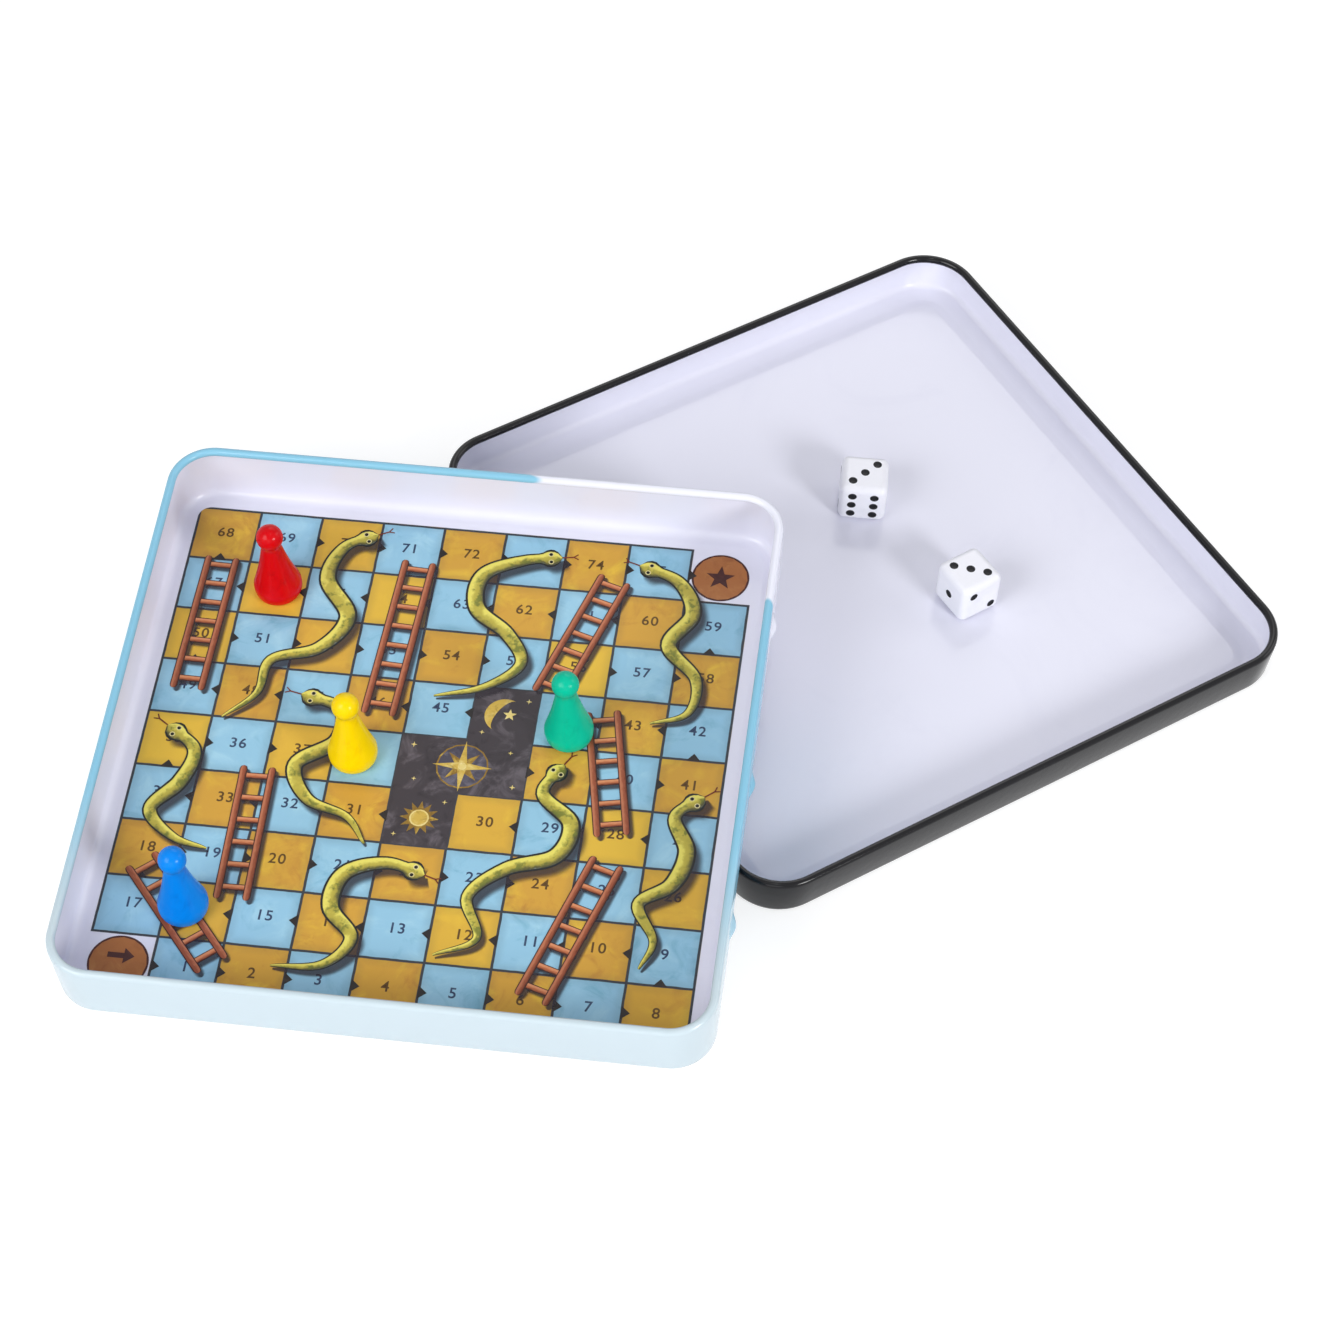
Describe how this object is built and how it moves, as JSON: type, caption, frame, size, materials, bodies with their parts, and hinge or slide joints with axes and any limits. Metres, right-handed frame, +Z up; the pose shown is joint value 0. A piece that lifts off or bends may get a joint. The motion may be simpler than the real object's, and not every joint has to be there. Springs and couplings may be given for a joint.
{
  "type": "magnetic snakes and ladders travel game",
  "caption": "Flat square tin tray with a numbered playing field, leaning on the rim of its open tin lid, with magnetic pawns on the field and dice in the lid.",
  "frame": {"origin": "on the ground under the middle of the whole layout's box", "axes": "+Z up, +X to the right and +Y to the back along the sides of the board tin before it leans; the lid lies turned 38.7 degrees about +Z"},
  "size_m": [0.253, 0.2414, 0.0332],
  "materials": {
    "black_tin": "gloss enamel outside, pale lilac white inside",
    "blue_tin": "gloss pale blue enamel outside, lilac white and the printed field inside",
    "red_plastic": "gloss moulded",
    "yellow_plastic": "gloss moulded",
    "green_plastic": "gloss moulded",
    "blue_plastic": "gloss moulded",
    "magnet": "nickel plated",
    "die_plastic": "polished, black pips"
  },
  "bodies": {
    "lid": {"lid_tin": "black_tin"},
    "board": {"board_tin": "blue_tin"},
    "red_pawn": {"pawn_red": "red_plastic", "magnet_red": "magnet"},
    "yellow_pawn": {"pawn_yellow": "yellow_plastic", "magnet_yellow": "magnet"},
    "green_pawn": {"pawn_green": "green_plastic", "magnet_green": "magnet"},
    "blue_pawn": {"pawn_blue": "blue_plastic", "magnet_blue": "magnet"},
    "first_die": {"die_1": "die_plastic"},
    "second_die": {"die_2": "die_plastic"}
  },
  "joints": [
    {"name": "board_lift", "type": "slide", "parent": "lid", "child": "board", "axis": [0, 0, 1], "range_m": [0, 0.06]},
    {"name": "red_pawn_lift", "type": "slide", "parent": "board", "child": "red_pawn", "axis": [-0.0653, -0.0524, 0.9965], "range_m": [0, 0.03]},
    {"name": "yellow_pawn_lift", "type": "slide", "parent": "board", "child": "yellow_pawn", "axis": [-0.0653, -0.0524, 0.9965], "range_m": [0, 0.03]},
    {"name": "green_pawn_lift", "type": "slide", "parent": "board", "child": "green_pawn", "axis": [-0.0653, -0.0524, 0.9965], "range_m": [0, 0.03]},
    {"name": "blue_pawn_lift", "type": "slide", "parent": "board", "child": "blue_pawn", "axis": [-0.0653, -0.0524, 0.9965], "range_m": [0, 0.03]},
    {"name": "first_die_lift", "type": "slide", "parent": "lid", "child": "first_die", "axis": [0, 0, 1], "range_m": [0, 0.03]},
    {"name": "second_die_lift", "type": "slide", "parent": "lid", "child": "second_die", "axis": [0, 0, 1], "range_m": [0, 0.03]}
  ]
}
